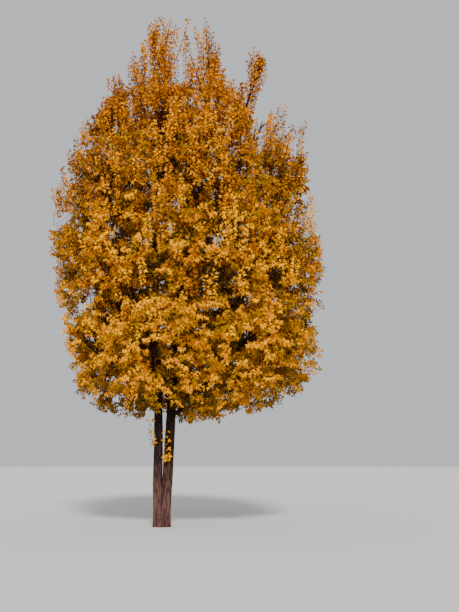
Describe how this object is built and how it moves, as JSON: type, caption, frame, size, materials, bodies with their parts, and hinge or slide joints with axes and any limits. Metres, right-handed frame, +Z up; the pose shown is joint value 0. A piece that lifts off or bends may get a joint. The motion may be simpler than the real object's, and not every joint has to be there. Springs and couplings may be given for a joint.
{
  "type": "golden autumn maple tree",
  "caption": "Maple in golden autumn leaf, with one foot, two leaning stems, boughs all round and an egg-shaped crown of open leafy masses.",
  "frame": {"origin": "middle of the foot at ground level, under the trunk", "axes": "+Z up the tree, +X to the right of the main view across the two stems, +Y away from the viewer"},
  "size_m": [6.551, 5.9841, 12.0142],
  "materials": {
    "bark": "rough, ridged",
    "foliage_gold": "matt",
    "foliage_amber": "matt",
    "foliage_russet": "matt"
  },
  "bodies": {
    "root": {"bough_high_back": "bark", "bough_high_back_left": "bark", "bough_high_front": "bark", "bough_high_front_left": "bark", "bough_high_right": "bark", "bough_low_back": "bark", "bough_low_back_left": "bark", "bough_low_front": "bark", "bough_low_front_right": "bark", "bough_low_left": "bark", "bough_low_right": "bark", "bough_middle_back_left": "bark", "bough_middle_back_right": "bark", "bough_middle_front_left": "bark", "bough_middle_front_right": "bark", "bough_middle_left": "bark", "bough_middle_right": "bark", "bough_spire": "bark", "bough_upper_back": "bark", "bough_upper_front": "bark", "bough_upper_left": "bark", "bough_upper_right": "bark", "foliage_high_back": "foliage_amber", "foliage_high_back_left": "foliage_amber", "foliage_high_front": "foliage_amber", "foliage_high_front_left": "foliage_amber", "foliage_high_right": "foliage_amber", "foliage_low_back": "foliage_gold", "foliage_low_back_left": "foliage_gold", "foliage_low_front": "foliage_gold", "foliage_low_front_right": "foliage_gold", "foliage_low_left": "foliage_gold", "foliage_low_right": "foliage_gold", "foliage_middle_back_left": "foliage_gold", "foliage_middle_back_right": "foliage_gold", "foliage_middle_front_left": "foliage_gold", "foliage_middle_front_right": "foliage_gold", "foliage_middle_left": "foliage_gold", "foliage_middle_right": "foliage_gold", "foliage_spire": "foliage_russet", "foliage_top_left": "foliage_russet", "foliage_top_right": "foliage_russet", "foliage_upper_back": "foliage_amber", "foliage_upper_front": "foliage_amber", "foliage_upper_left": "foliage_amber", "foliage_upper_right": "foliage_amber", "shoot_left": "foliage_gold", "shoot_right": "foliage_gold", "stem_left": "bark", "stem_right": "bark", "trunk": "bark"}
  },
  "joints": []
}
